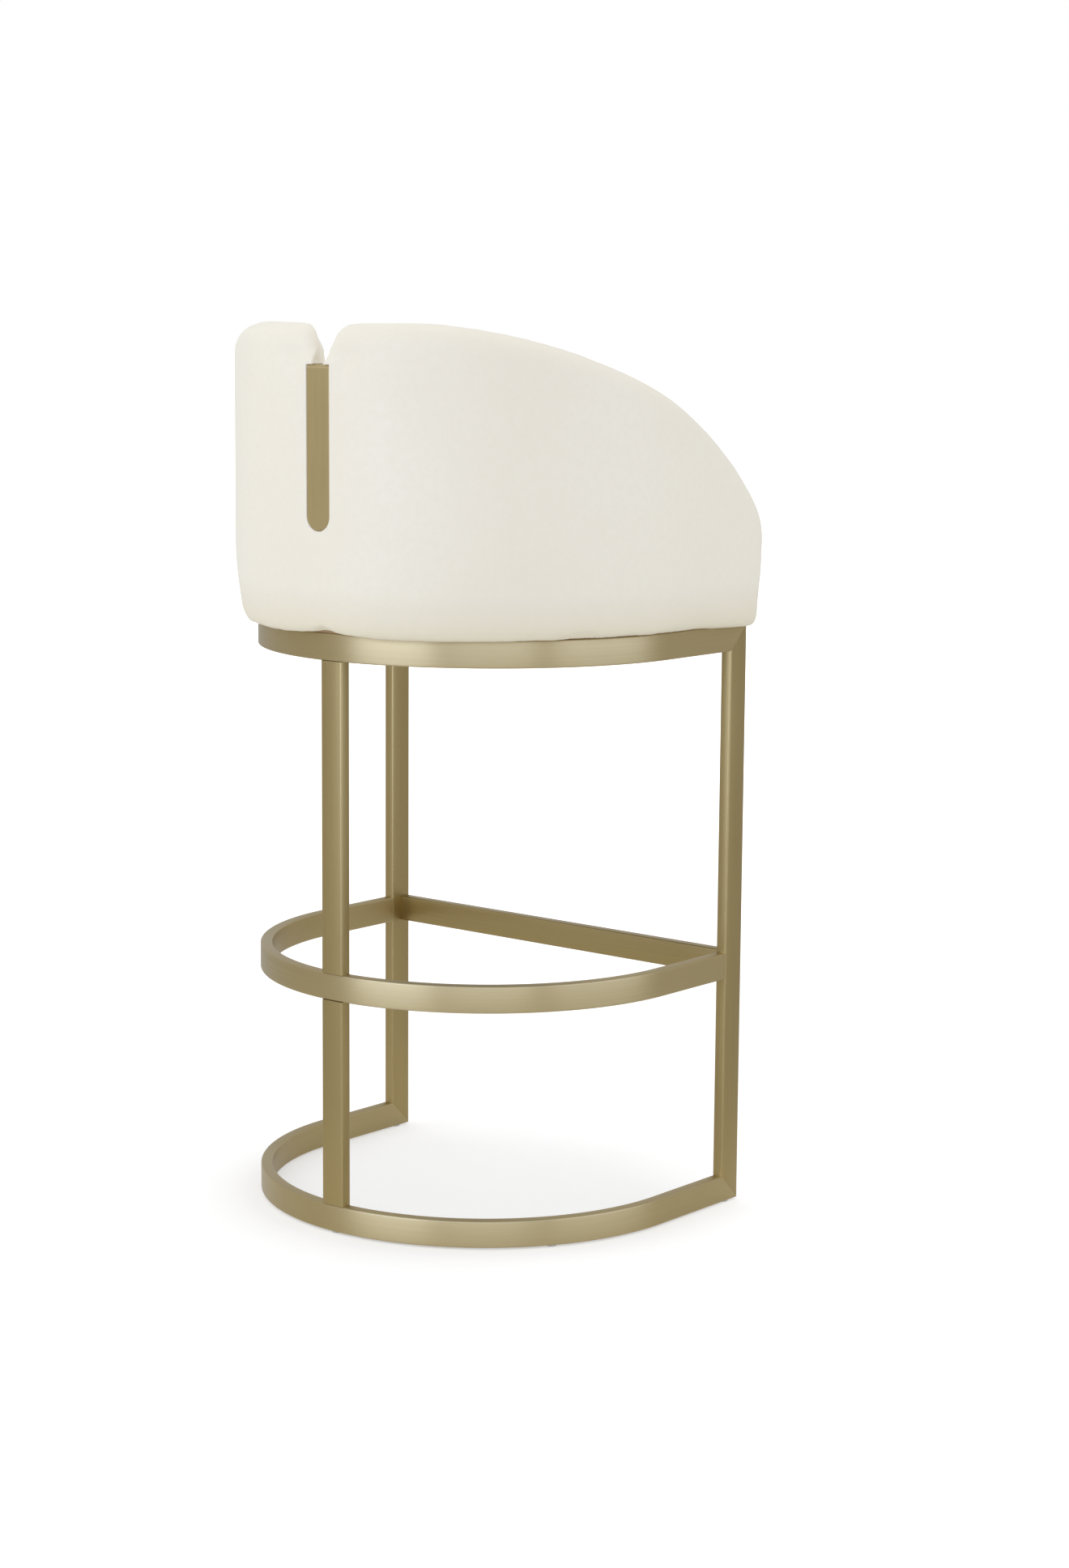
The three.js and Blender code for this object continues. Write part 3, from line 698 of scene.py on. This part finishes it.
def d_outline(radius, front, z, steps=96):
    points = [Vector((-radius, front, z)), Vector((radius, front, z))]
    for i in range(steps + 1):
        angle = math.pi * i / steps
        points.append(Vector((radius * math.cos(angle), ARC_Y + radius * math.sin(angle), z)))
    return points


def contour_coordinates(co):
    """For each point, the distance round the frame's outline from the back centre, and outwards from it."""
    straight = co[:, 1] < ARC_Y
    side = np.where(co[:, 0] < 0, -1.0, 1.0)
    angle = np.arctan2(co[:, 0], co[:, 1] - ARC_Y)
    along = np.where(straight, side * (BEND + ARC_Y - co[:, 1]), angle * RING_R)
    out = np.where(straight, np.abs(co[:, 0]), np.hypot(co[:, 0], co[:, 1] - ARC_Y)) - RING_R
    return along, out


def settle_pad(pad):
    """Seats the cover against the bar, sags it over the ring and gives it the slack of a sewn cover."""
    co = coords(pad.data)
    no = normals(pad.data)
    along, out = contour_coordinates(co)
    height = co[:, 2] - PAD_BOTTOM
    push = np.zeros(len(co))
    for i, (x, y, z) in enumerate(co):
        push[i] = 0.5 * MM * noise.noise(Vector((x * 7, y * 7, z * 7)))
        if height[i] < 60 * MM:
            tuck = noise.noise(Vector((along[i] * 34, z * 6, 3.1)))
            tuck += 0.6 * noise.noise(Vector((along[i] * 95, z * 12, 8.7)))
            push[i] += 0.8 * MM * tuck * math.exp(-((height[i] - 12 * MM) / (16 * MM)) ** 2)
    co += no * push[:, None]
    beside = np.exp(-(np.maximum(np.abs(co[:, 0]) - BAR_HALF, 0) / (15 * MM)) ** 2)
    beside *= smooth_step(co[:, 2], BAR_LOW.z - 22 * MM, BAR_LOW.z)
    beside *= 1 - smooth_step(co[:, 2], BAR_HIGH.z, BAR_HIGH.z + 16 * MM)
    beside *= smooth_step(co[:, 1], BACK_FACE + 2 * MM, BACK_FACE + 12 * MM)
    co[:, 1] += (BAR_HIGH.y + 0.5 * MM - co[:, 1]) * beside
    co[:, 2] = np.maximum(co[:, 2], PAD_BOTTOM)
    _, out = contour_coordinates(co)
    sag = smooth_step(out, 0.8 * MM, 5 * MM) * np.exp(-(height / (26 * MM)) ** 2)
    co[:, 2] -= PAD_DROOP * sag
    set_coords(pad.data, co)


def pad_pockets():
    """Room inside the pad for the plywood core, which stops short of the notch, and for the seat board."""
    grow = 0.4 * MM
    floor_z = PAD_BOTTOM - 5 * MM
    core_out = CORE_HIGH.x - RING_R
    core = strip_cutter("core_pocket", core_out - 12 * MM - grow, core_out + grow, floor_z,
                        lambda s: pad_top(max(abs(s), NOTCH_HALF + LOBE_R)) - 27 * MM, PAD_END - 29 * MM)
    notch_room = box_object("core_notch", (-34 * MM, 34 * MM), (BACK_FACE - 40 * MM, BACK_FACE + 20 * MM),
                            (CORE_HIGH.z - 60 * MM, CORE_HIGH.z + 60 * MM))
    combine(core, [notch_room], "DIFFERENCE")
    board = loft_object("board_pocket", [d_outline(BOARD_HIGH.x + grow, BOARD_LOW.y - grow, z)
                                         for z in (floor_z, BOARD_HIGH.z + grow)])
    return [core, board]


def back_pad():
    pad = pad_blank(inset=2.5 * MM)
    combine(pad, [notch_cutter()], "DIFFERENCE")
    voxel(pad)
    relax(pad, 2)
    inflate(pad, cap=4 * MM, stiffness=15)
    relax(pad, 1)
    subdivide(pad)
    settle_pad(pad)
    groove = groove_cutter(0.35 * MM, BAR_LOW.y - 0.4 * MM, BACK_FACE + 60 * MM)
    combine(pad, [groove, *pad_pockets()], "DIFFERENCE")
    smooth(pad)
    return pad


pad = back_pad()
dress(pad, UPHOLSTERY, "upholstery", "back_pad")


# ---------------------------------------------------------------- seat cushion

def seat_cushion():
    """Crowned D-shaped cushion with a lip that covers the seat board's front edge."""
    radius = CUSHION_HIGH.x
    front = CUSHION_LOW.y
    swell = 4 * MM
    top = CUSHION_HIGH.z - 8 * MM
    bottom = BOARD_HIGH.z + GAP
    levels = [(bottom, 0), (bottom + 8 * MM, 0), (bottom + 24 * MM, 0), (top - 20 * MM, 0),
              (top - 12 * MM, 1.5 * MM), (top - 5 * MM, 6 * MM), (top, 14 * MM)]
    loops = [d_outline(radius - swell - inset, front + swell + inset, z) for z, inset in levels]
    cushion = loft_object("seat_upholstery", loops)
    lip = box_object("lip", (-radius, radius), (front + swell, BOARD_LOW.y - 2 * GAP),
                     (CUSHION_LOW.z, bottom + 10 * MM))
    combine(cushion, [lip], "UNION")
    voxel(cushion)
    relax(cushion, 2)
    sewn = coords(cushion.data)
    inflate(cushion, cap=9 * MM, stiffness=10)
    relax(cushion, 2)
    hem = 1 - smooth_step(sewn[:, 2:], bottom + 2 * MM, bottom + 20 * MM)
    hem *= sewn[:, 1:2] < BOARD_LOW.y + 8 * MM
    set_coords(cushion.data, coords(cushion.data) * (1 - hem) + sewn * hem)
    fit_cushion(cushion, radius, bottom)
    subdivide(cushion)
    fit_cushion(cushion, radius, bottom)
    smooth(cushion)
    return cushion


def fit_cushion(cushion, radius, bottom):
    """Holds the cushion inside the arms, on top of the board and behind its own front line."""
    co = coords(cushion.data)
    behind = co[:, 1] > ARC_Y
    reach = np.hypot(co[:, 0], co[:, 1] - ARC_Y)
    scale = np.where(behind & (reach > radius), radius / np.maximum(reach, 1e-6), 1)
    co[:, 0] *= scale
    co[behind, 1] = ARC_Y + (co[behind, 1] - ARC_Y) * scale[behind]
    co[:, 0] = np.clip(co[:, 0], -radius, radius)
    over_board = co[:, 1] > BOARD_LOW.y - GAP
    co[over_board, 2] = np.maximum(co[over_board, 2], bottom)
    co[:, 2] = np.maximum(co[:, 2], CUSHION_LOW.z)
    set_coords(cushion.data, co)


cushion = seat_cushion()
dress(cushion, SEAMED_UPHOLSTERY, "upholstery", "seat_cushion")


# ---------------------------------------------------------------- accent bar

def accent_bar():
    """Flat bar with a half-round foot: front edges eased, the top edge rounded over further."""
    ease = 0.7 * MM
    top_ease = 3.6 * MM
    top_zone = BAR_HIGH.z - 2 * MM
    steps = 6
    rings = [(0, 0, BAR_LOW.y)]
    for i in range(steps + 1):
        angle = math.pi / 2 * i / steps
        drop = 1 - math.cos(angle)
        rings.append((ease * drop, top_ease * drop, BAR_HIGH.y - top_ease * (1 - math.sin(angle))))
    loops = []
    for inset, drop, y in rings:
        loops.append([Vector((x, y, z - (drop - inset if z > top_zone else 0)))
                      for x, z in bar_outline(-inset, 48)])
    bar = loft_object("accent_bar_visible", loops)
    layer = bar.data.uv_layers.new(name="tube")
    for loop in bar.data.loops:
        x, y, z = bar.data.vertices[loop.vertex_index].co
        layer.data[loop.index].uv = (z + 20, x + y)
    # The rounded top is marked as edge, where the gold material paints a pale highlight.
    edge = bar.data.attributes.new("edge", "FLOAT", "POINT")
    for i, vertex in enumerate(bar.data.vertices):
        edge.data[i].value = 1.0 if vertex.co.z > BAR_HIGH.z - top_ease else 0.0
    bm = bmesh.new()
    bm.from_mesh(bar.data)
    for fold in bm.edges:
        if len(fold.link_faces) == 2 and fold.calc_face_angle() > math.radians(30):
            fold.smooth = False
    bm.to_mesh(bar.data)
    bm.free()
    return dress(bar, BRIGHT_GOLD, "accent_metal", "accent_bar")


accent_bar()

# ---------------------------------------------------------------- CAD nodes that stay, with finishes

FINISHES = {"zinc_steel": ZINC, "plywood": PLYWOOD, "dust_cloth": DUST_CLOTH, "nylon": NYLON,
            "frame_metal": TAB_GOLD}
SLOTS = {part["node"]: part["material_slot"] for part in frame["record"]["subparts"]}
for name, obj in frame["nodes"].items():
    if not obj.hide_render:
        obj.data.materials.clear()
        obj.data.materials.append(FINISHES[SLOTS[name]])


# ---------------------------------------------------------------- floor, light and camera

WHITE = (1, 1, 1, 1)
FLOOR_HALF = 40
SKY_FOR_DIFFUSE = 0.92
SKY_FOR_GLOSSY = 0.60
SKY_FOR_CAMERA = 1.0
# The camera sees less floor glow inside the base ring than around it: a painted shadow under the stool.
# Reflections see a glow only near the stool: a painted pool of light for the metal.
FLOOR_LIFT_UNDER = 0.46         # the floor's own glow as the camera sees it: inside the base ring,
FLOOR_LIFT_AROUND = 0.60        # just outside it,
FLOOR_LIFT_FAR = 1.0            # and far off
FLOOR_LIFT_FOR_GLOSSY = 0.22
FLOOR_LIFT_FOR_DIFFUSE = 0.28


def studio_floor():
    m = Nodes("studio_floor")
    place = m.place()
    mottle = m.ramp(m.noise(place, 3, 2), 0.3, 0.7)
    m.set("Base Color", m.mix(mottle, (0.57, 0.57, 0.57, 1), (0.59, 0.59, 0.59, 1)))
    m.set("Roughness", 0.9)
    m.set("Specular IOR Level", 0.1)
    m.set("Emission Color", WHITE)
    ray = m.add("ShaderNodeLightPath").outputs
    away = m.add("ShaderNodeVectorMath", {0: place}, operation="LENGTH").outputs["Value"]
    # painted shadow: less glow within about 0.22 to 0.42 m of the centre
    seen = m.math("ADD", m.ramp(away, 0.22, 0.42, FLOOR_LIFT_UNDER, FLOOR_LIFT_AROUND),
                  m.ramp(away, 0.9, 3.5, 0, FLOOR_LIFT_FAR - FLOOR_LIFT_AROUND))
    # painted pool of light near the stool, seen only in reflections
    reflected = m.ramp(away, 0.4, 0.9, FLOOR_LIFT_FOR_GLOSSY, 0)
    glow = m.math("MULTIPLY", ray["Is Camera Ray"], seen)
    glow = m.math("ADD", glow, m.math("MULTIPLY", ray["Is Diffuse Ray"], FLOOR_LIFT_FOR_DIFFUSE))
    m.set("Emission Strength", m.math("ADD", glow, m.math("MULTIPLY", ray["Is Glossy Ray"], reflected)))
    return m.material


floor = new_object("floor", [(-FLOOR_HALF, -FLOOR_HALF, 0), (FLOOR_HALF, -FLOOR_HALF, 0),
                             (FLOOR_HALF, FLOOR_HALF, 0), (-FLOOR_HALF, FLOOR_HALF, 0)], [(0, 1, 2, 3)])
floor.data.materials.append(studio_floor())


def studio_sky():
    """An even white sky, its brightness set apart for diffuse, glossy and camera rays."""
    world = bpy.data.worlds.new("studio")
    world.use_nodes = True
    bpy.context.scene.world = world
    tree = world.node_tree
    background = tree.nodes["Background"]
    ray = tree.nodes.new("ShaderNodeLightPath").outputs
    glossy = tree.nodes.new("ShaderNodeMapRange")
    glossy.inputs["To Min"].default_value = SKY_FOR_DIFFUSE
    glossy.inputs["To Max"].default_value = SKY_FOR_GLOSSY
    seen = tree.nodes.new("ShaderNodeMapRange")
    seen.inputs["To Max"].default_value = SKY_FOR_CAMERA
    tree.links.new(ray["Is Glossy Ray"], glossy.inputs["Value"])
    tree.links.new(glossy.outputs["Result"], seen.inputs["To Min"])
    tree.links.new(ray["Is Camera Ray"], seen.inputs["Value"])
    background.inputs["Color"].default_value = WHITE
    tree.links.new(seen.outputs["Result"], background.inputs["Strength"])


studio_sky()


def area(name, place, target, size, radiance, color=(1, 1, 1)):
    """A rectangular softbox; radiance is its brightness as a mirror would show it."""
    light = bpy.data.lights.new(name, "AREA")
    light.shape = "RECTANGLE"
    light.size, light.size_y = size
    light.energy = radiance * math.pi * size[0] * size[1]
    light.color = color
    obj = bpy.data.objects.new(name, light)
    bpy.context.scene.collection.objects.link(obj)
    obj.location = place
    obj.rotation_euler = (Vector(target) - Vector(place)).to_track_quat("-Z", "Y").to_euler()
    obj.visible_camera = False
    return obj


REFLECTED_LIGHT = (0.79, 0.97, 1.62)
softboxes = [
    area("softbox_behind", (0.35, 3.1, 1.2), (0.35, 0, 1.2), (2.4, 2.8), 2.5, REFLECTED_LIGHT),
    area("softbox_middle", (-2.9, 3.1, 1.4), (0, 0, 1.4), (3.4, 2.8), 1.6, REFLECTED_LIGHT),
    area("softbox_beside", (-3.1, -0.6, 1.2), (0, -0.6, 1.2), (3.2, 2.8), 1.25, REFLECTED_LIGHT),
]
for light in softboxes:
    light.visible_diffuse = False
fill = area("fill", (2.3, 2.5, 1.4), (0, 0, 0.7), (2.8, 2.2), 0.78, (0.96, 1.0, 1.10))
fill.visible_glossy = False
area("overhead", (0.0, 0.0, 3.2), (0, 0, 0.5), (1.3, 1.3), 0.8)

scene = bpy.context.scene
scene.view_settings.view_transform = "Standard"
scene.view_settings.look = "None"

CAMERA_PLACE = Vector((-2.3059, LEG_FRONT + 2.8665, 1.0269))
CAMERA_LENS = 72.21
AZIMUTH, ELEVATION, ROLL = (math.radians(angle) for angle in (219.376, 8.811, 0.428))

camera_data = bpy.data.cameras.new("camera")
camera_data.sensor_width = 36
camera_data.lens = CAMERA_LENS
camera = bpy.data.objects.new("camera", camera_data)
scene.collection.objects.link(camera)
back = Vector((math.sin(AZIMUTH) * math.cos(ELEVATION), -math.cos(AZIMUTH) * math.cos(ELEVATION),
               math.sin(ELEVATION)))
level = Vector((math.cos(AZIMUTH), math.sin(AZIMUTH), 0))
upright = back.cross(level)
right = level * math.cos(ROLL) + upright * math.sin(ROLL)
up = upright * math.cos(ROLL) - level * math.sin(ROLL)
turn = Matrix((right, up, back)).transposed().to_4x4()
camera.matrix_world = Matrix.Translation(CAMERA_PLACE) @ turn
scene.camera = camera
